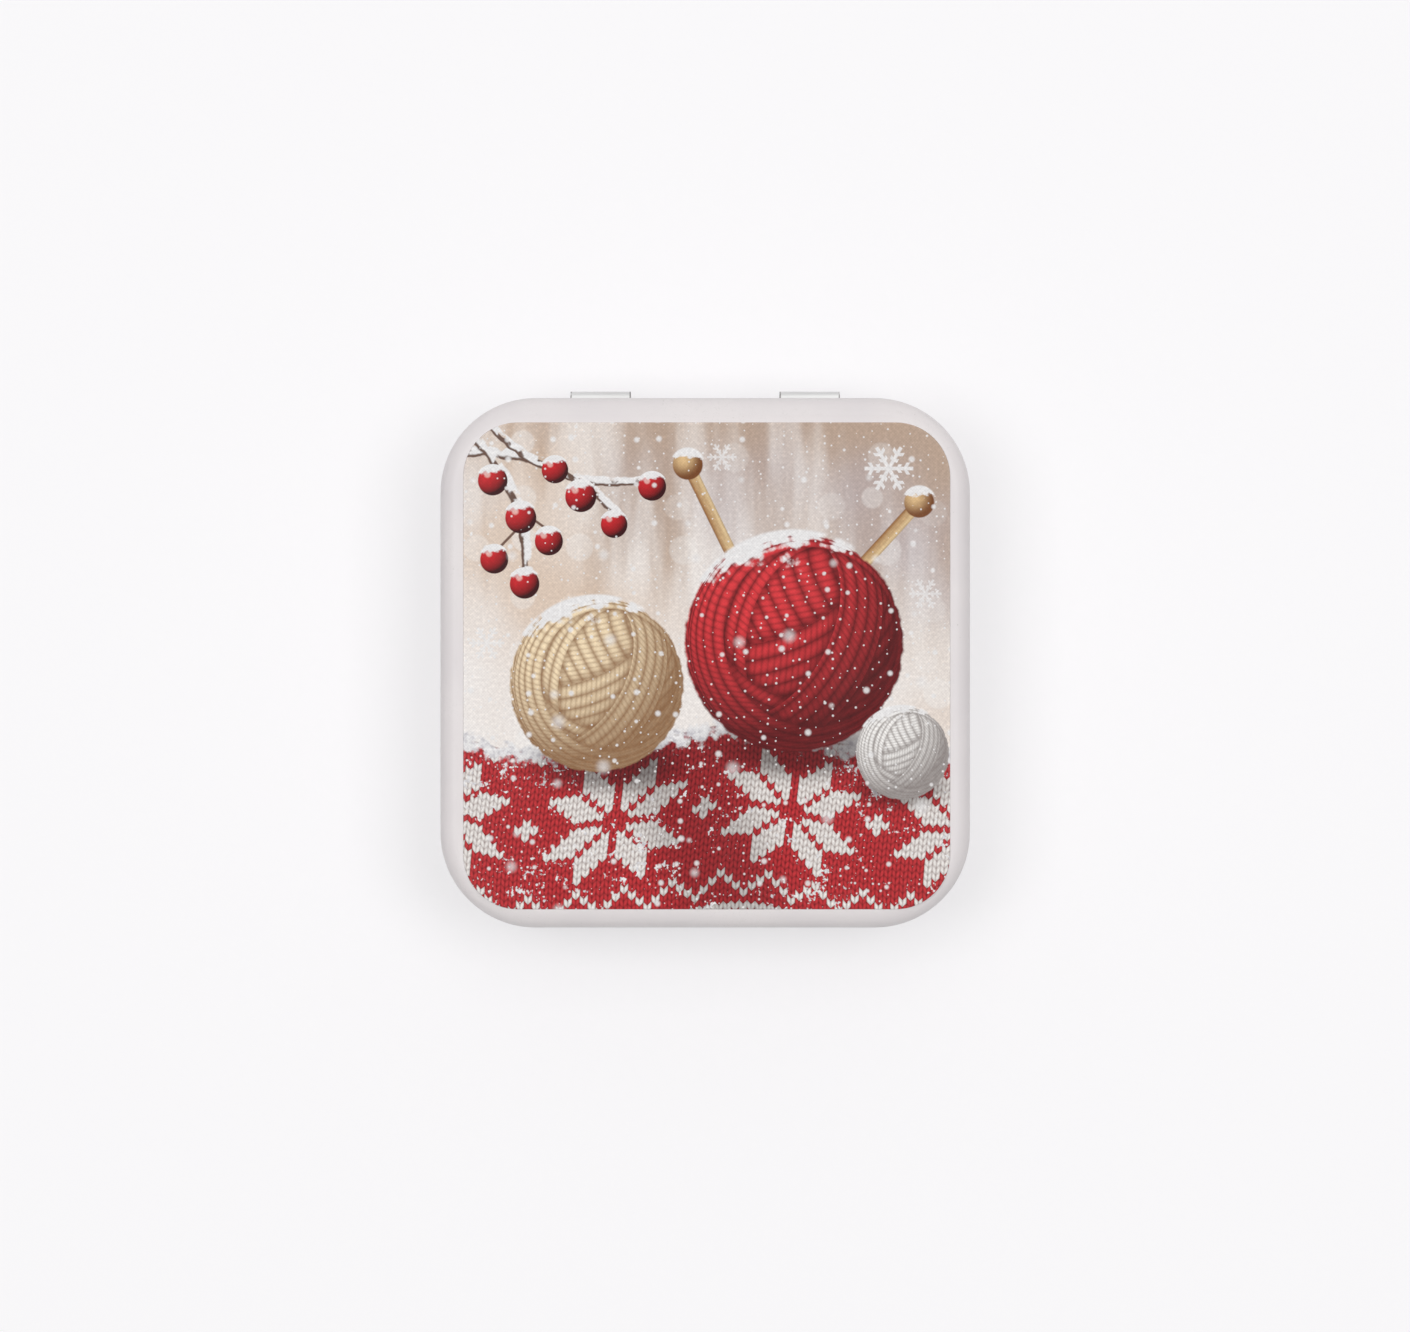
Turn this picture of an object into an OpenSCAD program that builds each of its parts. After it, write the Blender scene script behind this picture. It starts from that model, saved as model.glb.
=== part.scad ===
// Small square hinged tin. The base is a drawn tray with a curled rim. Two tabs, slit
// from its rear wall, pass through windows in the lid and curl round the lid's rolled
// edge, which is the hinge's pin. A picture label lies on the lid.
// Z is up, the front is -Y, and the origin is the middle of the face it stands on.

/* [Tin] */
// Outside width of the lid, the same both ways
tin_w = 70; // [60:0.5:90]
// Outside corner radius of the lid, seen from above
corner_r = 12.6; // [10:0.1:16]
// Height of the closed tin, up to the top of the lid's sheet
tin_h = 21.7; // [18:0.1:40]
// Thickness of the tinplate
sheet_t = 0.25; // [0.2:0.01:0.3]

/* [Lid] */
// Height of the lid, from its rolled edge to its top
lid_h = 8; // [6:0.1:12]
// Outside radius where the lid's top turns down into its skirt
lid_edge_r = 2.3; // [1.2:0.1:3]
// Outside radius of the roll along the skirt's lower edge
roll_r = 0.75; // [0.6:0.01:0.9]

/* [Base] */
// Gap between the lid's roll and the base's wall
wall_gap = 0.5; // [0.4:0.05:0.8]
// Gap between the base's rim and the underside of the lid
rim_gap = 0.2; // [0.1:0.05:0.5]
// Outside radius of the curl along the base's rim
rim_r = 0.6; // [0.45:0.01:0.7]
// Outside radius between the floor and the wall
foot_r = 1.8; // [1:0.1:3]
// Height to which the stiffening bead is pressed up out of the floor
bead_h = 0.45; // [0.2:0.05:0.8]
// Radius of the bead's round section, on its underside
bead_r = 1.5; // [1:0.1:2]
// Distance from the wall's outside to the middle of the bead
bead_inset = 5.5; // [4.8:0.1:7]

/* [Hinge] */
// Width of each hinge tab
tab_w = 8; // [5:0.1:11]
// Distance between the middles of the two tabs
tab_pitch = 27.8; // [20:0.1:30]
// How far the curled tabs stand out behind the lid's skirt
tab_reach = 1.1; // [0.8:0.05:1.4]
// Angle to which the curl comes round to its free edge, from the rear, past its top
tab_end = 235; // [215:1:270]
// Width of the slit on each side of a tab
slit_w = 0.4; // [0.2:0.05:0.8]
// How far the slits run down below the start of the curl
slit_drop = 0.6; // [0.2:0.05:1.5]
// Gap between a tab's side and the side of its window
window_gap = 0.35; // [0.2:0.05:0.8]
// Height of the strip of skirt that a window leaves above the middle of the roll
window_sill = 0.4; // [0.2:0.05:0.5]
// Radial play of the roll where it bears on the curl
hinge_play = 0.08; // [0.03:0.01:0.1]
// Angle at which the window's upper edge comes down on the curl and stops the lid
open_angle = 105; // [95:1:115]
// Gap that is left between the window's edge and the curl at that angle
stop_gap = 0.04; // [0.02:0.01:0.1]

/* [Closing pips] */
// Distance between the middles of the two pips in the front wall
pip_pitch = 30; // [16:1:40]
// How far a pip stands out of the wall
pip_h = 0.3; // [0.15:0.01:0.3]
// Radius of a pip's round face
pip_r = 4; // [2.5:0.1:6]
// Height of a pip's middle above the middle of the closed lid's roll
pip_lift = 0.9; // [0.6:0.05:1.5]

/* [Label] */
// Width of the picture label, the same both ways
label_w = 64.2; // [50:0.1:64.5]
// Corner radius of the label
label_corner_r = 7.2; // [5:0.1:9]
// Thickness of the label
label_t = 0.3; // [0.15:0.05:0.5]
// Radius of the label's upper edge
label_edge_r = 0.2; // [0.05:0.05:0.3]
// How far the label sits to the right of the lid's middle
label_right = 0.2; // [-0.5:0.05:0.5]
// How far the label sits to the front of the lid's middle
label_front = 0.4; // [-0.5:0.05:0.5]

/* [Hidden] */
$fn = 64;
eps = 0.01;

// Every wall turns its corners about the same four points. A flat middle plate reaches
// past them, and each swept section starts a little inside that plate's edge.
corner_c = tin_w / 2 - corner_r;
plate_reach = 1;
lap = 0.4;

// Lid: outside face of its skirt, and the middle of its roll, which is the hinge's axis
lid_half = tin_w / 2;
hinge_y = lid_half - roll_r;
hinge_z = tin_h - lid_h + roll_r;
roll_end = 70;

// Base: outside face of its wall, and the top of its rim
base_half = lid_half - 2 * roll_r - wall_gap;
rim_z = tin_h - sheet_t - rim_gap;
rim_end = 290;
bead_x = base_half - bead_inset;

// Curl of the tabs: it starts as the wall's continuation, and its crown bears on the roll
curl_in = (lid_half + tab_reach - base_half - sheet_t) / 2;
curl_out = curl_in + sheet_t;
curl_y = base_half + curl_in;
curl_shift = curl_in - roll_r - hinge_play;
curl_drop = sqrt(curl_shift ^ 2 - (curl_y - hinge_y) ^ 2);
curl_z = hinge_z - curl_drop;
slit_z = curl_z - slit_drop;

// Window: its upper edge, turned to the open angle, lies one stop gap off the curl
turn_y = (curl_y - hinge_y) * cos(open_angle) + curl_drop * sin(open_angle);
turn_z = (curl_y - hinge_y) * sin(open_angle) - curl_drop * cos(open_angle);
function stop_height(y) = turn_z + sqrt((curl_out + stop_gap) ^ 2 - (y - turn_y) ^ 2);
window_top = max(stop_height(roll_r - sheet_t), stop_height(roll_r));

pip_z = hinge_z + pip_lift;

// Part of a sheet curled to a ring, kept from one angle up to another
module curl(r, from, to) {
    steps = 6;
    difference() {
        circle(r);
        circle(r - sheet_t);
        polygon(concat([[0, 0]], [
            for (i = [0 : steps])
                let (a = to + (from + 360 - to) * i / steps)
                2 * r * [cos(a), sin(a)]
        ]));
    }
}

// Sweeps a wall section round a square with round corners, whose middles lie at
// (c, c). The section's X is the distance from the tin's middle, and its Y is the height.
module sweep_round(c) {
    for (quarter = [0 : 3])
        rotate(90 * quarter) {
            translate([0, c, 0])
                rotate([90, 0, 0])
                    linear_extrude(2 * c)
                        children();
            translate([c, c, 0])
                rotate_extrude(angle = 90)
                    translate([-c, 0])
                        children();
        }
}

// Part of a section that joins the middle plate, from near the corners' middles to x
module flat_strip(c, x, h) {
    start = c + plate_reach - lap;
    translate([start, 0])
        square([x - start, h]);
}

// Middle plate that a swept section is joined to
module middle_plate(c, h) {
    half = c + plate_reach;
    translate([-half, -half, 0])
        cube([2 * half, 2 * half, h]);
}

// Floor with its bead, foot radius, wall and curled rim, from the corners' middles outwards
module base_section() {
    difference() {
        union() {
            flat_strip(corner_c, base_half - foot_r, sheet_t);
            intersection() {
                translate([bead_x, bead_h - bead_r])
                    circle(bead_r + sheet_t);
                translate([bead_x - 2 * bead_r, 0])
                    square([4 * bead_r, 2 * bead_r]);
            }
        }
        translate([bead_x, bead_h - bead_r])
            circle(bead_r);
    }
    translate([base_half - foot_r, foot_r])
        curl(foot_r, -90, 0);
    translate([base_half - sheet_t, foot_r])
        square([sheet_t, rim_z - rim_r - foot_r]);
    translate([base_half - rim_r, rim_z - rim_r])
        curl(rim_r, 0, rim_end);
}

// Top sheet, rounded edge, skirt and roll, from the corners' middles outwards
module lid_section() {
    translate([0, tin_h - sheet_t])
        flat_strip(corner_c, lid_half - lid_edge_r, sheet_t);
    translate([lid_half - lid_edge_r, tin_h - lid_edge_r])
        curl(lid_edge_r, 0, 90);
    translate([lid_half - sheet_t, hinge_z])
        square([sheet_t, tin_h - lid_edge_r - hinge_z]);
    translate([hinge_y, hinge_z])
        curl(roll_r, roll_end, 360);
}

// Strip of the rear wall, curled outwards and round, drawn across the tab
module tab_section() {
    translate([base_half - sheet_t, slit_z - eps])
        square([sheet_t, curl_z - slit_z + eps]);
    translate([curl_y, curl_z])
        curl(curl_out, tab_end - 360, 180);
}

module at_each_tab() {
    for (side = [-1, 1])
        translate([side * tab_pitch / 2, 0, 0])
            children();
}

module hinge_tab() {
    translate([-tab_w / 2, 0, 0])
        rotate([90, 0, 90])
            linear_extrude(tab_w)
                tab_section();
}

// Gap in the rear wall and rim that the tab was bent out of, with its two slits
module tab_notch() {
    w = tab_w + 2 * slit_w;
    depth = 2 * rim_r + 2 * eps;
    translate([-w / 2, base_half + eps - depth, slit_z])
        cube([w, depth, tin_h - slit_z]);
}

module tab_window() {
    w = tab_w + 2 * window_gap;
    translate([-w / 2, lid_half - sheet_t - eps, hinge_z + window_sill])
        cube([w, sheet_t + 2 * eps, window_top - window_sill]);
}

module at_each_pip() {
    for (side = [-1, 1])
        translate([side * pip_pitch / 2, pip_r - pip_h - base_half, pip_z])
            children();
}

// Round face of a pip, cut off at the middle of the wall
module pip_face() {
    intersection() {
        sphere(pip_r);
        translate([-pip_r, -pip_r - pip_h, -pip_r])
            cube([2 * pip_r, 2 * pip_h + sheet_t / 2, 2 * pip_r]);
    }
}

module base_tray() {
    color("whitesmoke") {
        difference() {
            union() {
                sweep_round(corner_c)
                    base_section();
                middle_plate(corner_c, sheet_t);
                at_each_pip()
                    pip_face();
            }
            at_each_pip()
                sphere(pip_r - sheet_t);
            at_each_tab()
                tab_notch();
        }
        at_each_tab()
            hinge_tab();
    }
}

module lid_shell() {
    color("white")
        difference() {
            union() {
                sweep_round(corner_c)
                    lid_section();
                translate([0, 0, tin_h - sheet_t])
                    middle_plate(corner_c, sheet_t);
            }
            at_each_tab()
                tab_window();
        }
}

// Section of the label's border, with its rounded upper edge
module label_section(c) {
    half = label_w / 2;
    flat_strip(c, half, label_t - label_edge_r);
    flat_strip(c, half - label_edge_r, label_t);
    translate([half - label_edge_r, label_t - label_edge_r])
        intersection() {
            circle(label_edge_r);
            square(label_edge_r);
        }
}

module picture_label() {
    c = label_w / 2 - label_corner_r;
    color("firebrick")
        translate([label_right, -label_front, tin_h]) {
            sweep_round(c)
                label_section(c);
            middle_plate(c, label_t);
        }
}

base_tray();
lid_shell();
picture_label();
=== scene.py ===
"""A small square hinged tin, white enamel outside and bare tinplate inside, with a printed label.

The label's picture is made up: a winter still life of wool, needles and a knitted band in the snow.
"""

import math

import bpy
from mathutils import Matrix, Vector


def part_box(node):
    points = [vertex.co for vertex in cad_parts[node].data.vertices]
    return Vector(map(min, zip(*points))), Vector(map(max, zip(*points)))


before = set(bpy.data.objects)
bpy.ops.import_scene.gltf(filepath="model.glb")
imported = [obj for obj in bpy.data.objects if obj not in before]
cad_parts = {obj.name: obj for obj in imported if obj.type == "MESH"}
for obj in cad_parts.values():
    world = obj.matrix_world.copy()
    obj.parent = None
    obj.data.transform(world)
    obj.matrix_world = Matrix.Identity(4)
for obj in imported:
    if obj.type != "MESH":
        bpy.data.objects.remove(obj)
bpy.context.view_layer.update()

MM = 0.001

# Heights in the bump maps are in hundredths of a millimetre
BUMP_UNIT = 0.01 * MM

# Sizes of the tin, in millimetres, as the part's source gives them. Distances outwards start at
# the square on which the corners have their middles.
CORNER_MIDDLE = 22.4
SHEET = 0.25
LID_WALL = 12.6
LID_TOP = 21.7
LID_EDGE_R = 2.3
ROLL_R = 0.75
ROLL_Z = 14.45
BASE_WALL = 10.6
FOOT_R = 1.8
RIM_R = 0.6
RIM_TOP = 21.25
BEAD_OUT = 5.1
BEAD_Z = -1.05
BEAD_R = 1.5
TAB_MIDDLE = 13.9
TAB_HALF = 4.0
CURL_Y = 34.425
CURL_Z = 13.881
CURL_IN = 1.425
CURL_OUT = 1.675
PIP_X = 15.0
PIP_Y = -29.3
PIP_Z = 15.35
PIP_R = 4.0

# The label's print covers it down to the first height. Below the second, its cut edge shows white.
PRINT_FOOT = 21.9
CUT_TOP = 21.85

# The ring that the tin stands on is worn from the first distance outwards, fully from the second,
# and up to the height
RING_START = 6.1
RING_FULL = 8.1
RING_TOP = 0.35

# The tabs are darkened towards their ends, as painted shade of the gap beside each tab together with a
# dark cut edge:
# from the first distance off a tab's middle, and fully from the second
TAB_END_SHADE_START = 3.76
TAB_END_SHADE_FULL = 3.96

# A test of place stays inside a face by the first distance, or reaches past it by the second
INSET = 0.02
PAST = 0.05


def srgb(code):
    """A linear colour with its alpha, from a printed one such as "a02030"."""
    parts = [int(code[i:i + 2], 16) / 255 for i in (0, 2, 4)]
    return tuple(p / 12.92 if p <= 0.04045 else ((p + 0.055) / 1.055) ** 2.4 for p in parts) + (1,)


# ---------------------------------------------------------------- shader arithmetic


class Value:
    """A number or colour that varies over a surface. Arithmetic on it adds Math nodes."""

    def __init__(self, ink, socket):
        self.ink = ink
        self.socket = socket

    def __add__(self, other):
        return self.ink.math("ADD", self, other)

    def __sub__(self, other):
        return self.ink.math("SUBTRACT", self, other)

    def __rsub__(self, other):
        return self.ink.math("SUBTRACT", other, self)

    def __mul__(self, other):
        return self.ink.math("MULTIPLY", self, other)

    def __truediv__(self, other):
        return self.ink.math("DIVIDE", self, other)

    def __mod__(self, other):
        return self.ink.math("FLOORED_MODULO", self, other)

    def __lt__(self, other):
        return self.ink.math("LESS_THAN", self, other)

    def __gt__(self, other):
        return self.ink.math("GREATER_THAN", self, other)

    def __abs__(self):
        return self.ink.math("ABSOLUTE", self)


class Ink:
    """Adds the nodes of one shader tree."""

    def __init__(self, tree):
        self.tree = tree

    def add(self, kind, **settings):
        node = self.tree.nodes.new("ShaderNode" + kind)
        for name, setting in settings.items():
            setattr(node, name, setting)
        return node

    def feed(self, socket, value):
        if isinstance(value, Value):
            self.tree.links.new(value.socket, socket)
        else:
            socket.default_value = value

    def math(self, operation, *values):
        node = self.add("Math", operation=operation)
        for socket, value in zip(node.inputs, values):
            self.feed(socket, value)
        return Value(self, node.outputs[0])

    def floor(self, value):
        return self.math("FLOOR", value)

    def fraction(self, value):
        return self.math("FRACT", value)

    def root(self, value):
        return self.math("SQRT", value)

    def sine(self, value):
        return self.math("SINE", value)

    def larger(self, a, b):
        return self.math("MAXIMUM", a, b)

    def smaller(self, a, b):
        return self.math("MINIMUM", a, b)

    def length(self, a, b):
        return self.root(a * a + b * b)

    def fade(self, value, empty, full):
        """Rises smoothly from 0 where the value is at empty to 1 where it is at full."""
        node = self.add("MapRange", interpolation_type="SMOOTHSTEP")
        self.feed(node.inputs["Value"], value)
        self.feed(node.inputs["From Min"], empty)
        self.feed(node.inputs["From Max"], full)
        return Value(self, node.outputs["Result"])

    def mix(self, a, b, share):
        node = self.add("Mix", data_type="FLOAT")
        self.feed(node.inputs[0], share)
        self.feed(node.inputs[2], a)
        self.feed(node.inputs[3], b)
        return Value(self, node.outputs[0])

    def paint(self, under, over, share, way="MIX"):
        node = self.add("Mix", data_type="RGBA", blend_type=way)
        self.feed(node.inputs[0], share)
        self.feed(node.inputs[6], under)
        self.feed(node.inputs[7], over)
        return Value(self, node.outputs[2])

    def point(self, x, y, z=0.0):
        node = self.add("CombineXYZ")
        for socket, value in zip(node.inputs, (x, y, z)):
            self.feed(socket, value)
        return Value(self, node.outputs[0])

    def split(self, vector):
        node = self.add("SeparateXYZ")
        self.feed(node.inputs[0], vector)
        return [Value(self, socket) for socket in node.outputs]

    def noise(self, point, scale, detail, distortion=0.0):
        node = self.add("TexNoise")
        self.feed(node.inputs["Vector"], point)
        node.inputs["Scale"].default_value = scale
        node.inputs["Detail"].default_value = detail
        node.inputs["Distortion"].default_value = distortion
        return Value(self, node.outputs[0])

    def cells(self, point, scale, scatter):
        """Distance to the nearest of many scattered points, and two random numbers for each."""
        node = self.add("TexVoronoi", voronoi_dimensions="2D")
        self.feed(node.inputs["Vector"], point)
        node.inputs["Scale"].default_value = scale
        node.inputs["Randomness"].default_value = scatter
        chances = self.split(Value(self, node.outputs["Color"]))
        return Value(self, node.outputs["Distance"]), chances[0], chances[1]

    def bump(self, height, strength):
        node = self.add("Bump")
        node.inputs["Strength"].default_value = strength
        node.inputs["Distance"].default_value = BUMP_UNIT
        self.feed(node.inputs["Height"], height)
        return Value(self, node.outputs[0])

    def use(self, group, **values):
        node = self.add("Group", node_tree=group)
        for name, value in values.items():
            self.feed(node.inputs[name], value)
        return [Value(self, socket) for socket in node.outputs]


FLOAT = "NodeSocketFloat"
COLOR = "NodeSocketColor"
VECTOR = "NodeSocketVector"


def new_group(name, takes, gives):
    """Starts a shader node group: its tree, its Ink, its inputs, and the node of its outputs."""
    tree = bpy.data.node_groups.new(name, "ShaderNodeTree")
    for socket, kind in takes.items():
        tree.interface.new_socket(socket, in_out="INPUT", socket_type=kind)
    for socket, kind in gives.items():
        tree.interface.new_socket(socket, in_out="OUTPUT", socket_type=kind)
    ink = Ink(tree)
    start = tree.nodes.new("NodeGroupInput")
    end = tree.nodes.new("NodeGroupOutput")
    return tree, ink, [Value(ink, start.outputs[socket]) for socket in takes], end


def new_material(name):
    material = bpy.data.materials.new(name)
    material.use_nodes = True
    ink = Ink(material.node_tree)
    return material, ink, material.node_tree.nodes["Principled BSDF"]


def object_point(ink):
    """The place on the piece, in millimetres."""
    place = ink.add("TexCoord")
    scaled = ink.add("VectorMath", operation="SCALE")
    ink.tree.links.new(place.outputs["Object"], scaled.inputs[0])
    scaled.inputs["Scale"].default_value = 1 / MM
    return Value(ink, scaled.outputs[0])


# ---------------------------------------------------------------- finishes of the sheet


def make_wall_distance():
    """Distance outwards from the square on which the corners have their middles."""
    tree, ink, (point,), end = new_group("wall_distance", {"Point": VECTOR}, {"Distance": FLOAT})
    x, y = ink.split(point)[:2]
    beyond_x = abs(x) - CORNER_MIDDLE
    beyond_y = abs(y) - CORNER_MIDDLE
    outside = ink.length(ink.larger(beyond_x, 0.0), ink.larger(beyond_y, 0.0))
    inside = ink.smaller(ink.larger(beyond_x, beyond_y), 0.0)
    ink.feed(end.inputs["Distance"], outside + inside)
    return tree


def make_enamel():
    """Sprayed white enamel: faint cloudiness, rubbed patches, dust nibs, ripple, scuffs and chips."""
    takes = {"Point": VECTOR, "Wear": FLOAT}
    gives = {"Color": COLOR, "Roughness": FLOAT, "Height": FLOAT, "Chip": FLOAT}
    tree, ink, (point, wear), end = new_group("enamel", takes, gives)
    cloud = ink.noise(point, 0.07, 3.0)
    color = ink.paint(srgb("e2dcdd"), srgb("e8e2e2"), ink.fade(cloud, 0.3, 0.7))
    rub = ink.noise(point, 0.5, 5.0)
    color = ink.paint(color, srgb("d8d4d3"), ink.fade(rub, 0.56, 0.78) * (wear * 0.5 + 0.1))
    nib = ink.noise(point, 2.3, 1.0)
    color = ink.paint(color, srgb("b5b0aa"), ink.fade(nib, 0.78, 0.82) * 0.35)
    ripple = ink.noise(point, 0.9, 1.0) + ink.fade(nib, 0.76, 0.84) * 0.5
    ripple = ripple + ink.noise(point, 0.06, 1.0) * 5
    chip = ink.fade(ink.noise(point, 1.4, 6.0) + wear * 0.13, 0.78, 0.8)
    x, y, z = ink.split(point)
    hair = ink.noise(ink.point(x * 1.7 - y * 0.5, y * 1.7 + x * 0.5, z * 1.2), 0.6, 3.0, 0.6)
    scuff = ink.fade(abs(hair - 0.5), 0.01, 0.0) * ink.fade(cloud, 0.42, 0.62)
    color = ink.paint(color, srgb("c4c0be"), scuff * 0.3)
    ink.feed(end.inputs["Color"], color)
    ink.feed(end.inputs["Roughness"], rub * 0.16 + scuff * 0.12 + 0.33)
    ink.feed(end.inputs["Height"], ripple - scuff * 0.4)
    ink.feed(end.inputs["Chip"], chip)
    return tree


def make_tinplate():
    """Bare tinplate: rolling lines across the sheet, soft stains, and hair scratches."""
    gives = {"Color": COLOR, "Roughness": FLOAT, "Height": FLOAT}
    tree, ink, (point,), end = new_group("tinplate", {"Point": VECTOR}, gives)
    x, y, z = ink.split(point)
    rolling = ink.noise(ink.point(x * 0.05, y * 3.0, z * 3.0), 1.0, 4.0)
    stain = ink.noise(point, 0.07, 2.0)
    hair = ink.noise(ink.point(x * 0.4 + y * 2.2, y * 0.4 - x * 2.2, z * 2.2), 1.6, 3.0, 0.4)
    scratch = ink.fade(abs(hair - 0.5), 0.012, 0.0) * 0.5
    color = ink.paint(srgb("d8d8d7"), srgb("e8e8e7"), rolling)
    color = ink.paint(color, srgb("c6c4c0"), ink.fade(stain, 0.45, 0.8) * 0.4)
    ink.feed(end.inputs["Color"], color)
    ink.feed(end.inputs["Roughness"], rolling * 0.16 + stain * 0.16 + scratch * 0.1 + 0.16)
    ink.feed(end.inputs["Height"], rolling * 0.6 - scratch)
    return tree


WALL_DISTANCE = make_wall_distance()
ENAMEL = make_enamel()
TINPLATE = make_tinplate()


def rounded_depth(ink, across, along, radius):
    """How far a point lies outside a wall whose section turns through a round edge."""
    outside = ink.length(ink.larger(across, 0.0), ink.larger(along, 0.0))
    inside = ink.smaller(ink.larger(across, along), 0.0)
    return outside + inside - radius


def curl_outside(ink, across, up, radius, beyond):
    """1 on the round face of a curled edge, beyond the wall that it is curled from."""
    from_middle = ink.length(across, up)
    return (from_middle > radius - SHEET / 2) * (from_middle < radius + PAST) * beyond


def sheet_material(name, sheet_side):
    """Enamel on the sheet's outside and tinplate on its inside. Cut edges are bare."""
    material, ink, shader = new_material(name)
    point = object_point(ink)
    wall = ink.use(WALL_DISTANCE, Point=point)[0]
    enamelled, wear, shade_and_grime = sheet_side(ink, point, wall)
    skin, skin_rough, skin_height, chip = ink.use(ENAMEL, Point=point, Wear=wear)
    metal, metal_rough, metal_height = ink.use(TINPLATE, Point=point)
    # Darkens the bare metal where the side asks: painted shade with a dark cut edge at the base's tab
    # ends
    metal = ink.paint(metal, srgb("57524f"), shade_and_grime)
    bare = ink.larger(1 - enamelled, chip)
    ink.feed(shader.inputs["Base Color"], ink.paint(skin, metal, bare))
    ink.feed(shader.inputs["Metallic"], bare)
    ink.feed(shader.inputs["Roughness"], ink.mix(skin_rough, metal_rough, bare))
    ink.feed(shader.inputs["Normal"], ink.bump(ink.mix(skin_height, metal_height, bare), 0.5))
    return material


def lid_side(ink, point, wall):
    """Where the lid is enamelled, where its enamel is worn, and where its metal is dark."""
    z = ink.split(point)[2]
    depth = rounded_depth(ink, wall - (LID_WALL - LID_EDGE_R), z - (LID_TOP - LID_EDGE_R), LID_EDGE_R)
    roll_across = wall - (LID_WALL - ROLL_R)
    roll_up = z - ROLL_Z
    beyond = ink.larger(roll_up < 0.0, roll_across < ROLL_R - SHEET - INSET)
    rolled = curl_outside(ink, roll_across, roll_up, ROLL_R, beyond)
    wear = ink.fade(z, ROLL_Z + 0.6, ROLL_Z - 0.7)
    return ink.larger(depth > -SHEET / 2, rolled), wear, 0.0


def base_side(ink, point, wall):
    """Where the base is enamelled, where its enamel is worn, and where its metal is darkened: painted
    shade with a dark cut edge at the tabs' ends.
    """
    x, y, z = ink.split(point)
    depth = rounded_depth(ink, wall - (BASE_WALL - FOOT_R), FOOT_R - z, FOOT_R)
    pip = ink.length(ink.length(abs(x) - PIP_X, y - PIP_Y), z - PIP_Z)
    outside = (depth > -SHEET / 2) * (pip > PIP_R - SHEET / 2)
    bead = ink.length(wall - BEAD_OUT, z - BEAD_Z) < BEAD_R + SHEET / 2
    rim_across = wall - (BASE_WALL - RIM_R)
    rim_up = z - (RIM_TOP - RIM_R)
    beyond = ink.larger(rim_up > 0.0, rim_across < RIM_R - SHEET - INSET)
    curled = curl_outside(ink, rim_across, rim_up, RIM_R, beyond)
    outside = ink.larger(ink.larger(outside, bead), curled)
    from_tab = abs(abs(x) - TAB_MIDDLE)
    on_curl = (from_tab < TAB_HALF + PAST) * (y > CURL_Y - CURL_OUT - PAST) * (z > CURL_Z - CURL_OUT)
    on_curl = on_curl * ink.larger(z > CURL_Z, y > CURL_Y - CURL_IN)
    tab_inner = (ink.length(y - CURL_Y, z - CURL_Z) < CURL_IN + SHEET / 2) * (from_tab < TAB_HALF - INSET)
    standing_ring = ink.fade(z, RING_TOP, 0.0) * ink.fade(wall, RING_START, RING_FULL)
    wear = ink.larger(ink.fade(z, RIM_TOP - 0.9, RIM_TOP) * 0.8, standing_ring * 0.9)
    patchy = ink.fade(ink.noise(point, 1.1, 2.0), 0.32, 0.55)
    # Painted shade of the gap beside each tab, together with a dark cut edge, towards the tab's ends
    shaded_tab_ends = ink.fade(from_tab, TAB_END_SHADE_START, TAB_END_SHADE_FULL) * patchy * (y > CURL_Y)
    return ink.mix(outside, tab_inner, on_curl), wear, shaded_tab_ends * 0.85


def dress(name, material):
    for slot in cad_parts[name].material_slots:
        slot.material = material


dress("lid_shell", sheet_material("lid_sheet", lid_side))
dress("base_tray", sheet_material("base_sheet", base_side))


# ---------------------------------------------------------------- the label's picture

# Places are millimetres from the label's middle, in its plane. Each ball: its middle and radius.
RED_BALL = (11.5, 3.0, 14.6)
CREAM_BALL = (-14.5, -2.5, 11.6)
SNOW_BALL = (25.8, -11.5, 6.2)

# The shadow under each ball: its middle, its reach to the sides and up, and its strength
RED_SHADOW = ((12.5, -10.8), (16.5, 5.5), 0.7)
CREAM_SHADOW = ((-13.0, -13.0), (13.5, 5.0), 0.65)
SNOW_SHADOW = ((25.5, -16.0), (8.5, 4.0), 0.6)

# Strands side by side and twists along a strand, for each radius of a ball
STRANDS = 8.2
TWISTS = 17

# Windings of a ball: turn and tilt of the axis in degrees, half the width, and the first strand
WINDINGS = (
    (35, 20, 2.0, 0.0),
    (112, 30, 0.46, 0.3),
    (-8, 48, 0.34, 0.1),
    (68, 62, 0.30, 0.6),
    (150, 40, 0.24, 0.4),
    (20, 74, 0.26, 0.8),
)

# Each needle: the middle of its knob, and its tip
LEFT_NEEDLE = ((-2.5, 26.5), (9.5, 2.0))
RIGHT_NEEDLE = ((28.0, 21.5), (12.0, 4.0))
NEEDLE_HALF = 0.85
KNOB_R = 2.0

# The knitting is counted in stitches across and rows up. Rows of the zigzag and of the plain
# white line are counted from the middle of the stars.
STITCH_W = 1.05
STITCH_H = 0.9
BAND_TOP = -9.7
STAR_REPEAT = 22
STAR_ROW = -23
ZIGZAG_REPEAT = 6
ZIGZAG_ROW = 10
WHITE_ROW = 15

# Each berry: its middle and radius
BERRIES = (
    (-24.5, 19.5, 2.1),
    (-28.0, 14.0, 1.9),
    (-20.8, 16.4, 1.9),
    (-24.0, 10.8, 2.0),
    (-16.6, 22.3, 2.1),
    (-12.2, 18.6, 1.8),
    (-7.2, 23.6, 1.9),
    (-20.0, 25.8, 1.8),
    (-28.2, 24.4, 2.0),
)

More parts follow.
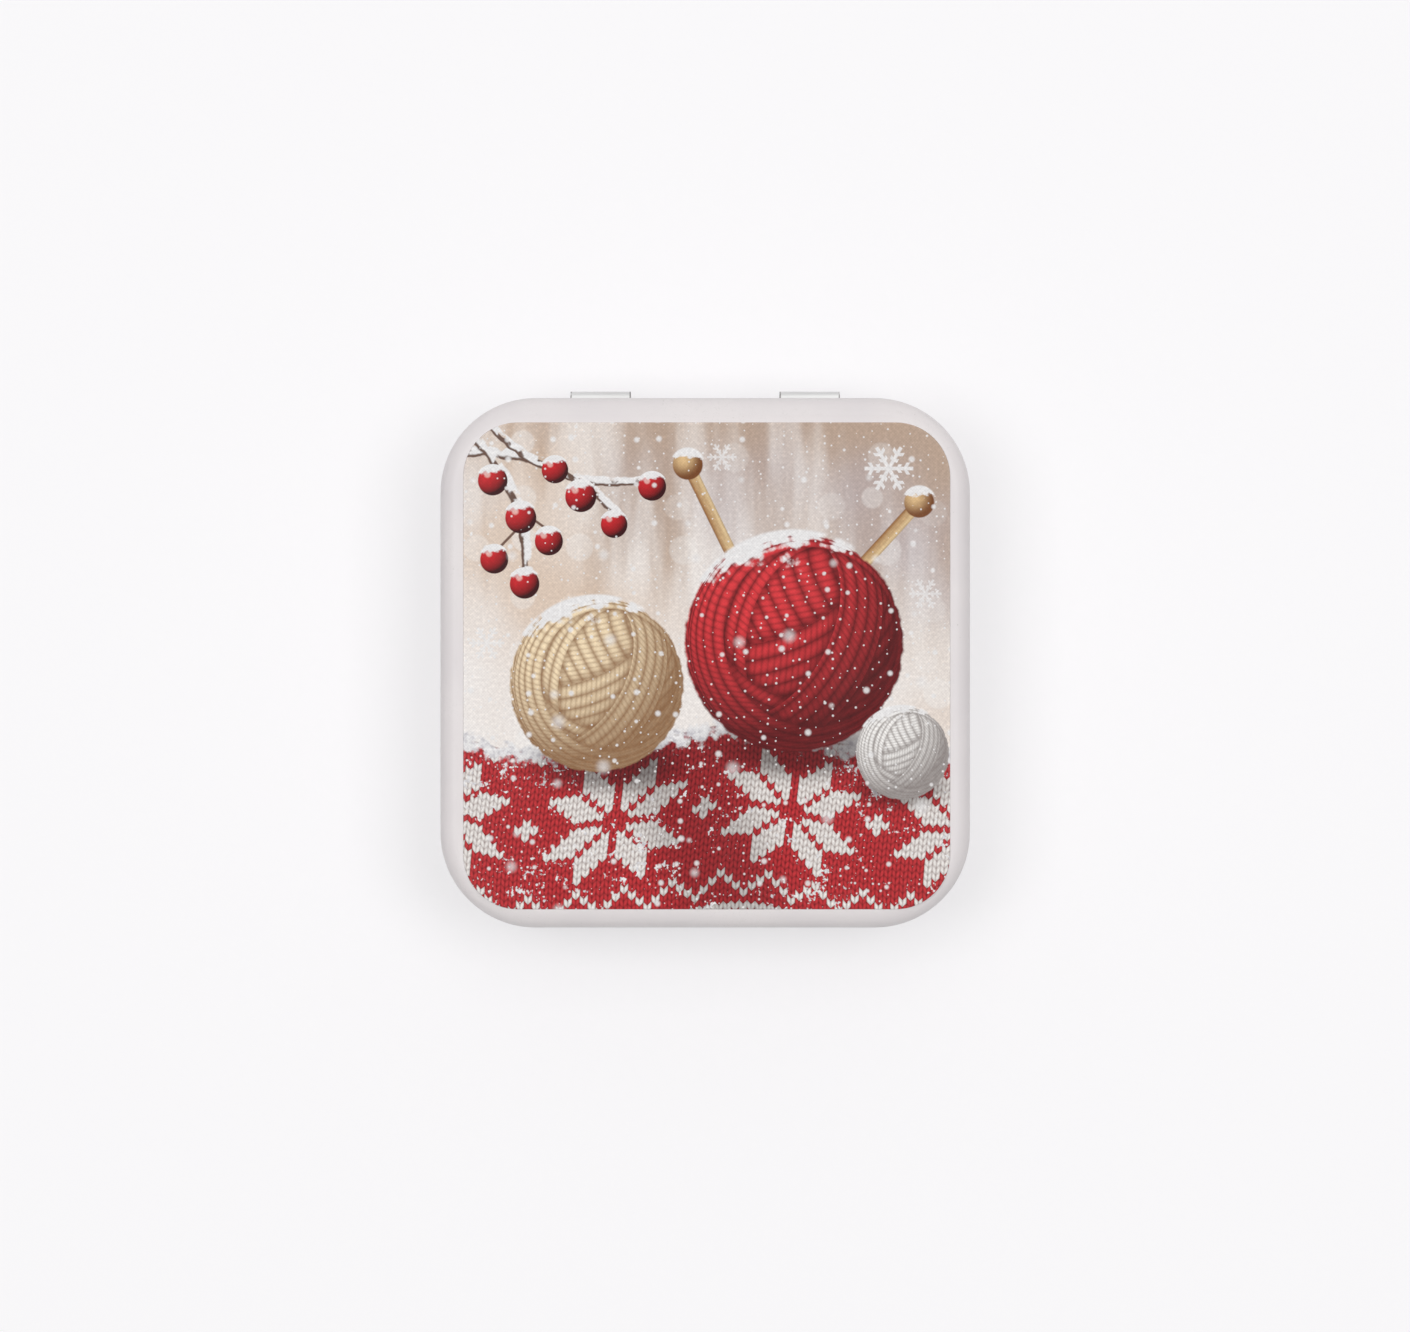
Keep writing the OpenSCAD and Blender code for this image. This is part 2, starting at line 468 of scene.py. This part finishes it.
# Each snow crystal: its middle, radius and strength
CRYSTALS = (
    (24.0, 26.0, 3.3, 0.9),
    (-29.0, 3.0, 2.4, 0.75),
    (2.0, 27.5, 2.0, 0.7),
    (28.8, 9.5, 2.2, 0.7),
)

# Falling snow: flakes in a millimetre, share left out, size, softness and strength
FLAKES = (
    (0.95, 0.62, 0.16, 0.10, 0.85),
    (0.36, 0.60, 0.16, 0.08, 0.85),
    (0.17, 0.66, 0.19, 0.02, 0.6),
)

SNOW = srgb("f3f2f2")
SNOW_SHADE = srgb("cfcdd2")
DEEP_RED = srgb("26050a")

# The print lies on a fine canvas, whose waves run through so many radians in a millimetre. The
# canvas and the grain of the paper darken and lighten the colours by up to these factors.
CANVAS = 15.7
DOTS_DARK = (0.72, 0.68, 0.68, 1)
DOTS_LIGHT = (1.14, 1.13, 1.12, 1)


def make_wool_ball():
    """A wound ball of radius 1 about the middle: crossing windings of twisted strands."""
    takes = {"X": FLOAT, "Y": FLOAT, "Light": COLOR, "Dark": COLOR}
    gives = {"Color": COLOR, "Cover": FLOAT, "Snow": FLOAT}
    tree, ink, (x, y, light, dark), end = new_group("wool_ball", takes, gives)
    place = ink.point(x, y)
    fuzz = ink.noise(place, 9.0, 4.0)
    flat = x * x + y * y
    cover = ink.fade(flat + (fuzz - 0.5) * 0.12, 1.0, 0.95)
    z = ink.root(ink.larger(1 - flat, 0.0))
    tone = None
    for turn, tilt, half_width, start in WINDINGS:
        turn, tilt = math.radians(turn), math.radians(tilt)
        axis = (math.cos(turn) * math.cos(tilt), math.sin(turn) * math.cos(tilt), math.sin(tilt))
        side = (-math.sin(turn), math.cos(turn))
        across = x * axis[0] + y * axis[1] + z * axis[2] - start * 0.4
        along = x * side[0] + y * side[1]
        strand = ink.fraction(across * STRANDS + start) * 2 - 1
        crown = 1 - strand * strand
        ply = ink.fraction(along * TWISTS + strand * 0.55) * 2 - 1
        strands = (crown * 0.75 + 0.25) * (1 - ply * ply * 0.42)
        if tone is None:
            tone = strands
        else:
            off = abs(across) - half_width
            tone = ink.mix(tone * (1 - ink.fade(off, 0.09, 0.0) * 0.55), strands, off < 0.0)
    lit = ink.larger(x * -0.42 + y * 0.58 + z * 0.70, 0.0)
    color = ink.paint(dark, light, ink.smaller(tone * (lit * 0.95 + 0.12) + fuzz * 0.14, 1.0))
    lump = ink.noise(place, 2.6, 4.0)
    top = y * 0.9 - x * 0.22 + fuzz * 0.4 + (lump - 0.5) * 1.1 + (tone - 0.5) * 0.1
    ink.feed(end.inputs["Color"], color)
    ink.feed(end.inputs["Cover"], cover)
    ink.feed(end.inputs["Snow"], ink.fade(top, 0.9, 1.02))
    return tree


def make_snow_crystal():
    """A six-armed crystal of radius 1 about the middle, with two pairs of twigs on each arm."""
    tree, ink, (x, y), end = new_group("snow_crystal", {"X": FLOAT, "Y": FLOAT}, {"Cover": FLOAT})
    sixth = math.pi / 3
    angle = abs((ink.math("ARCTAN2", y, x) + sixth / 2) % sixth - sixth / 2)
    radius = ink.length(x, y)
    out = radius * ink.math("COSINE", angle)
    aside = radius * ink.sine(angle)
    cover = ink.fade(aside, 0.1, 0.045) * ink.fade(out, 1.0, 0.95)
    for start, reach in ((0.36, 0.17), (0.64, 0.24)):
        off_twig = abs((out - start) * math.sin(sixth) - aside * math.cos(sixth))
        twig = ink.fade(off_twig, 0.09, 0.04) * (aside < reach)
        cover = ink.larger(cover, twig)
    ink.feed(end.inputs["Cover"], cover)
    return tree


def make_berry():
    """A round berry of radius 1 about the middle, lit from the upper left, with a cap of snow."""
    gives = {"Color": COLOR, "Cover": FLOAT}
    tree, ink, (x, y), end = new_group("berry", {"X": FLOAT, "Y": FLOAT}, gives)
    flat = x * x + y * y
    z = ink.root(ink.larger(1 - flat, 0.0))
    lit = ink.larger(x * -0.45 + y * 0.55 + z * 0.7, 0.0)
    color = ink.paint(srgb("3a060a"), srgb("cf242b"), ink.smaller(lit * 1.1, 1.0))
    glint = ink.fade(ink.length(x + 0.35, y - 0.4), 0.28, 0.12)
    color = ink.paint(color, srgb("f2c4bd"), glint * 0.8)
    lump = ink.noise(ink.point(x, y), 2.2, 3.0)
    cap = ink.fade(y + lump * 0.7 - x * 0.1, 0.82, 0.98)
    color = ink.paint(color, SNOW, cap)
    ink.feed(end.inputs["Color"], color)
    ink.feed(end.inputs["Cover"], ink.fade(flat - cap * 0.25, 1.0, 0.9))
    return tree


WOOL_BALL = make_wool_ball()
SNOW_CRYSTAL = make_snow_crystal()
BERRY = make_berry()


def winter_air(ink, x, y, place):
    """Far trees and snow light, all out of focus."""
    drift = ink.noise(place, 0.045, 3.0)
    color = ink.paint(srgb("faf6f3"), srgb("efe6df"), ink.fade(y + drift * 46 + x * 0.3, 12, 52))
    trunks = ink.noise(ink.point(x * 0.16, y * 0.025), 1.0, 3.0) + y * 0.006 + x * 0.004
    color = ink.paint(color, srgb("c0a896"), ink.fade(trunks, 0.5, 0.8) * ink.fade(y, -6, 18))
    warm = ink.noise(ink.point(x * 0.03 + 9, y * 0.03), 1.0, 2.0)
    color = ink.paint(color, srgb("dab999"), ink.fade(warm, 0.46, 0.7) * 0.6)
    color = ink.paint(color, srgb("c3bdc6"), ink.fade(warm, 0.5, 0.3) * 0.55)
    distance, chance, bright = ink.cells(place, 0.15, 0.6)
    disc = ink.fade(distance, chance * 0.16 + 0.17, chance * 0.16 + 0.11)
    color = ink.paint(color, srgb("faf7f4"), disc * (chance > 0.45) * (bright * 0.4 + 0.12))
    return color


def bare_twig(ink, color, x, y, middle, radius, reach, thickness):
    """A brown arc between two angles, in degrees, with snow along one side.

    The third number of reach says on which side of the arc the snow lies, and how far out.
    """
    from_x = x - middle[0]
    from_y = y - middle[1]
    off = ink.length(from_x, from_y) - radius
    wobble = ink.noise(ink.point(x, y), 0.5, 2.0) - 0.5
    off = off + wobble * 0.9
    angle = ink.math("ARCTAN2", from_y, from_x)
    inside = (angle > math.radians(reach[0])) * (angle < math.radians(reach[1]))
    bark = ink.fade(abs(off), thickness, thickness * 0.6) * inside
    color = ink.paint(color, srgb("6d5348"), bark)
    lying = ink.fade(abs(off - thickness * reach[2]), thickness * 1.25, thickness * 0.7) * inside
    patchy = ink.fade(ink.noise(ink.point(x + 7, y), 0.42, 3.0), 0.38, 0.46)
    return ink.paint(color, SNOW, lying * patchy)


def stalk(ink, color, x, y, top, foot, half_width):
    """A thin straight stalk between two points."""
    length = math.dist(top, foot)
    run_x = (foot[0] - top[0]) / length
    run_y = (foot[1] - top[1]) / length
    along = (x - top[0]) * run_x + (y - top[1]) * run_y
    across = (y - top[1]) * run_x - (x - top[0]) * run_y
    inside = ink.fade(abs(along - length / 2), length / 2 + 0.1, length / 2)
    return ink.paint(color, srgb("75584b"), ink.fade(abs(across), half_width, half_width * 0.4) * inside)


def berry_spray(ink, color, x, y):
    """Bare twigs from the top-left corner, and berries along them."""
    color = bare_twig(ink, color, x, y, (-30, 4), 24, (38, 100, 0.9), 0.5)
    color = bare_twig(ink, color, x, y, (-46, 14), 22, (-10, 70, 0.9), 0.55)
    color = bare_twig(ink, color, x, y, (-12, 46), 22, (-150, -80, -0.9), 0.42)
    color = stalk(ink, color, x, y, (-24.4, 20.4), (-20.9, 17.9), 0.24)
    color = stalk(ink, color, x, y, (-24.4, 18.6), (-27.4, 15.5), 0.24)
    for middle_x, middle_y, radius in BERRIES:
        berry, cover = ink.use(BERRY, X=(x - middle_x) / radius, Y=(y - middle_y) / radius)
        color = ink.paint(color, berry, cover)
    return color


def needle(ink, color, x, y, knob, tip):
    """A wooden knitting needle with a round knob."""
    length = math.dist(knob, tip)
    run_x = (tip[0] - knob[0]) / length
    run_y = (tip[1] - knob[1]) / length
    from_x = x - knob[0]
    from_y = y - knob[1]
    along = from_x * run_x + from_y * run_y
    across = (from_y * run_x - from_x * run_y) / NEEDLE_HALF
    grain = ink.noise(ink.point(along * 0.12, across * 1.3), 1.0, 3.0)
    wood = ink.paint(srgb("a9794a"), srgb("ecd0a0"), ink.fade(across * 0.55 + grain, -0.1, 1.1))
    wood = ink.paint(wood, srgb("6f4525"), ink.fade(abs(across), 0.55, 1.1) * 0.6)
    shaft = ink.fade(abs(across), 1.05, 0.85) * (along > 0.0) * (along < length)
    color = ink.paint(color, wood, shaft)
    ball = ink.length(from_x, from_y) / KNOB_R
    lit = ink.fade(ink.length(from_x + KNOB_R * 0.3, from_y - KNOB_R * 0.35), KNOB_R * 1.25, 0.0)
    knob_color = ink.paint(srgb("7c4a26"), srgb("e9c591"), lit)
    color = ink.paint(color, knob_color, ink.fade(ball, 1.04, 0.94))
    cap = ink.fade(from_y / KNOB_R + ink.noise(ink.point(x, y), 0.8, 3.0), 0.92, 1.06)
    return ink.paint(color, SNOW, cap * ink.fade(ball, 1.2, 1.08))


def soft_shadow(ink, color, x, y, middle, spread, strength):
    """Darkens what lies about a place, most in its middle."""
    off = ink.length((x - middle[0]) / spread[0], (y - middle[1]) / spread[1])
    return ink.paint(color, srgb("240508"), ink.fade(off, 1.0, 0.35) * strength)


def knitted_band(ink, color, x, y, place):
    """A folded band of two-colour knitting, with eight-petalled stars between zigzags."""
    wave = ink.sine(x * 0.13 + 1.1)
    lift = wave * 1.6 + ink.sine(x * 0.31) * 0.35
    cell_x = x + ink.sine(y * 0.16) * 0.5 - y * 0.05
    cell_y = y - lift
    across = cell_x / STITCH_W
    column = ink.floor(across)
    side = across - column - 0.5
    up = cell_y / STITCH_H - abs(side) * 1.15
    row = ink.floor(up)
    rise = up - row - 0.5
    leg = (abs(side) - 0.25) * 3.6
    relief = ink.larger(1 - leg * leg * 0.85 - rise * rise * 2.2, 0.0)
    # stars: eight slanted petals about each star's middle
    from_x = abs(column % STAR_REPEAT - STAR_REPEAT / 2)
    from_y = abs(row - STAR_ROW)
    long = ink.larger(from_x, from_y)
    short = ink.smaller(from_x, from_y)
    lean = long - short
    petal = (short > 0.5) * (short < 4.5) * (lean > 0.5) * (lean < 4.5)
    spot = (STAR_REPEAT / 2 - from_x) + from_y < 1.5
    # zigzags and dots above and below the stars
    peak = abs(column % ZIGZAG_REPEAT - ZIGZAG_REPEAT / 2)
    zigzag = abs(from_y - ZIGZAG_ROW - peak) < 0.5
    white_row = abs(from_y - WHITE_ROW) < 0.5
    dots = (from_y > WHITE_ROW + 0.5) * (column % 2 < 0.5) * (from_y % 2 < 0.5)
    white = ink.smaller(petal + spot + zigzag + white_row + dots, 1.0)
    wool = ink.noise(place, 2.6, 3.0)
    red = ink.paint(srgb("5c0d12"), srgb("d0343a"), relief * 0.85 + wool * 0.3)
    pale = ink.paint(srgb("8f7a75"), srgb("f8f4f0"), relief * 0.8 + wool * 0.4)
    knit = ink.paint(red, pale, white)
    fold = ink.sine(x * 0.13 + y * 0.05 - 0.4)
    knit = ink.paint(knit, DEEP_RED, ink.fade(fold, -0.2, -1.0) * 0.35)
    edge = y - lift - BAND_TOP
    knit = ink.paint(knit, DEEP_RED, ink.fade(edge, -0.2, 0.25) * 0.6)
    color = ink.paint(color, knit, ink.fade(edge, 0.3, 0.0))
    clump = ink.noise(place, 0.62, 5.0)
    ridge = ink.fade(abs(edge + 0.3) * 0.17 - clump, -0.26, -0.42)
    crumbs = ink.noise(place, 1.9, 3.0)
    drift = ink.noise(ink.point(x * 0.1, y * 0.1 + 3), 1.0, 2.0)
    scattered = clump * 0.55 + crumbs * 0.45 + (drift - 0.5) * 0.32 - (relief - 0.5) * 0.05
    lying = ink.fade(scattered, 0.585, 0.635) * ink.fade(edge, 0.5, -1.0)
    snow = ink.paint(SNOW_SHADE, SNOW, ink.fade(ink.noise(place, 1.3, 3.0), 0.3, 0.6))
    return ink.paint(color, snow, ink.larger(ridge, lying))


def wool(ink, color, x, y, ball, light, dark):
    """A ball of wool in two colours, lit and shaded, with snow on top."""
    middle_x, middle_y, radius = ball
    ball_x = (x - middle_x) / radius
    ball_y = (y - middle_y) / radius
    strands, cover, snow = ink.use(WOOL_BALL, X=ball_x, Y=ball_y, Light=srgb(light), Dark=srgb(dark))
    color = ink.paint(color, strands, cover)
    return ink.paint(color, SNOW, snow * ink.fade(ball_x * ball_x + ball_y * ball_y, 1.09, 1.02))


def falling_snow(ink, color, place):
    """Flakes in three sizes, the largest out of focus."""
    for scale, left_out, size, edge, strength in FLAKES:
        distance, pick, grow = ink.cells(place, scale, 0.85)
        radius = grow * size + size * 0.35
        flake = ink.fade(distance, radius, radius * edge * 4)
        color = ink.paint(color, SNOW, flake * (pick > left_out) * strength)
    return color


def crystals(ink, color, x, y):
    """Large snow crystals hanging in the air."""
    for middle_x, middle_y, radius, strength in CRYSTALS:
        cover = ink.use(SNOW_CRYSTAL, X=(x - middle_x) / radius, Y=(y - middle_y) / radius)[0]
        color = ink.paint(color, SNOW, cover * strength)
    return color


def label_material():
    """The printed label, painted from back to front. Its cut edge is white."""
    material, ink, shader = new_material("printed_label")
    low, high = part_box("picture_label")
    point = object_point(ink)
    to_x, to_y, z = ink.split(point)
    x = to_x - (low.x + high.x) / 2 / MM
    y = to_y - (low.y + high.y) / 2 / MM
    place = ink.point(x, y)
    color = winter_air(ink, x, y, place)
    color = berry_spray(ink, color, x, y)
    color = needle(ink, color, x, y, *LEFT_NEEDLE)
    color = needle(ink, color, x, y, *RIGHT_NEEDLE)
    color = crystals(ink, color, x, y)
    color = knitted_band(ink, color, x, y, place)
    color = soft_shadow(ink, color, x, y, *CREAM_SHADOW)
    color = soft_shadow(ink, color, x, y, *RED_SHADOW)
    color = wool(ink, color, x, y, CREAM_BALL, "fde7c2", "84562e")
    color = wool(ink, color, x, y, RED_BALL, "e53d43", "33070b")
    color = soft_shadow(ink, color, x, y, *SNOW_SHADOW)
    color = wool(ink, color, x, y, SNOW_BALL, "fdfbf8", "857b78")
    color = falling_snow(ink, color, place)
    # printing on a fine canvas ground
    canvas = ink.sine(x * CANVAS) * ink.sine(y * CANVAS)
    grain = ink.noise(place, 2.4, 2.0)
    dark_dots = (canvas + 1) * 0.15 + ink.fade(grain, 0.45, 0.7) * 0.22
    color = ink.paint(color, DOTS_DARK, dark_dots, "MULTIPLY")
    color = ink.paint(color, DOTS_LIGHT, ink.fade(grain, 0.5, 0.25), "MULTIPLY")
    # the cut edge of the white film
    color = ink.paint(color, srgb("f0efee"), ink.fade(z, PRINT_FOOT, CUT_TOP))
    ink.feed(shader.inputs["Base Color"], color)
    smear = ink.noise(place, 0.08, 3.0)
    ink.feed(shader.inputs["Roughness"], smear * 0.08 + 0.15)
    shader.inputs["Specular IOR Level"].default_value = 0.3
    swell = ink.noise(place, 0.12, 2.0) * 6 + canvas * 0.35
    ink.feed(shader.inputs["Normal"], ink.bump(swell, 0.3))
    return material


dress("picture_label", label_material())


# ---------------------------------------------------------------- camera, floor and light

# The photograph's frame, and the closed tin's outline in it, in pixels
FRAME_W = 1410
FRAME_H = 1332
TIN_PX = 529.5
TIN_MIDDLE_PX = (705.2, 662.8)

# The camera's height above the lid's edge, in metres, and the width of its film in millimetres
CAMERA_HEIGHT = 0.8
FILM_W = 36

WHITE = (1, 1, 1, 1)

# The floor: its width and how far it lies under the tin, in metres, its colour for light, its
# darker colour for the camera, and the glow that makes up for that
FLOOR_W = 4
FLOOR_DROP = 0.02 * MM
FLOOR = (0.94, 0.935, 0.945, 1)
FLOOR_SEEN = (0.545, 0.535, 0.55, 1)
FLOOR_GLOW = 0.45

# How bright the room is straight overhead, where shiny surfaces mirror it
CEILING = 0.25

# How much brighter its rear wall is than the others, where shiny surfaces mirror it
REAR_WALL = 0.2


def add_camera():
    low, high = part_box("lid_shell")
    edge_z = high.z - LID_EDGE_R * MM
    metres_per_px = (high.x - low.x) / TIN_PX
    camera = bpy.data.objects.new("camera", bpy.data.cameras.new("camera"))
    bpy.context.scene.collection.objects.link(camera)
    camera.location = (
        (FRAME_W / 2 - TIN_MIDDLE_PX[0]) * metres_per_px,
        (TIN_MIDDLE_PX[1] - FRAME_H / 2) * metres_per_px,
        edge_z + CAMERA_HEIGHT,
    )
    camera.data.sensor_width = FILM_W
    camera.data.lens = FILM_W * CAMERA_HEIGHT / (FRAME_W * metres_per_px)
    camera.data.clip_start = 0.01
    camera.data.clip_end = 20
    bpy.context.scene.camera = camera


def add_floor():
    bpy.ops.object.select_all(action="DESELECT")
    bpy.ops.mesh.primitive_plane_add(size=FLOOR_W, location=(0, 0, -FLOOR_DROP))
    floor = bpy.context.object
    floor.name = "floor"
    material, ink, shader = new_material("floor")
    path = ink.add("LightPath")
    seen = Value(ink, path.outputs["Is Camera Ray"])
    ink.feed(shader.inputs["Base Color"], ink.paint(FLOOR, FLOOR_SEEN, seen))
    shader.inputs["Emission Color"].default_value = WHITE
    ink.feed(shader.inputs["Emission Strength"], seen * FLOOR_GLOW)
    shader.inputs["Roughness"].default_value = 0.8
    shader.inputs["Specular IOR Level"].default_value = 0.1
    floor.data.materials.append(material)


def add_softbox(name, place, width, depth, share):
    """A flat lamp turned to the tin. It gives that share of the light that shows white as white."""
    light = bpy.data.lights.new(name, "AREA")
    light.shape = "RECTANGLE"
    light.size = width
    light.size_y = depth
    lamp = bpy.data.objects.new(name, light)
    bpy.context.scene.collection.objects.link(lamp)
    lamp.location = place
    lamp.rotation_euler = (-lamp.location).to_track_quat("-Z", "Y").to_euler()
    distance = lamp.location.length
    light.energy = share * math.pi ** 2 * distance ** 3 / lamp.location.z


def add_room(strength, lean, narrow):
    """A white room, brighter to the rear and darker to the sides. The camera sees it plain white."""
    world = bpy.data.worlds.new("room")
    bpy.context.scene.world = world
    world.use_nodes = True
    ink = Ink(world.node_tree)
    path = ink.add("LightPath")
    seen = Value(ink, path.outputs["Is Camera Ray"])
    glossy = Value(ink, path.outputs["Is Glossy Ray"])
    through = Value(ink, path.outputs["Is Transmission Ray"])
    right, rear, up = ink.split(Value(ink, ink.add("TexCoord").outputs["Generated"]))
    even = (rear * lean - right * right * narrow + 1) * strength
    mirrored = ink.fade(up, 0.99, 0.75) * (1 - CEILING) + CEILING
    mirrored = mirrored + ink.larger(rear, 0.0) * REAR_WALL
    shown = ink.mix(ink.mix(even, mirrored, ink.larger(glossy, through)), 1.0, seen)
    background = world.node_tree.nodes["Background"]
    background.inputs["Color"].default_value = WHITE
    ink.feed(background.inputs["Strength"], shown)


add_camera()
add_floor()
add_softbox("left_softbox", (-0.36, 0.04, 1.0), 0.46, 0.46, 0.22)
add_softbox("right_softbox", (0.38, 0.03, 1.0), 0.46, 0.46, 0.22)
add_softbox("rear_softbox", (0.0, 0.42, 1.0), 0.8, 0.3, 0.06)
add_room(0.54, 0.3, 0.7)
bpy.context.scene.view_settings.view_transform = "Standard"
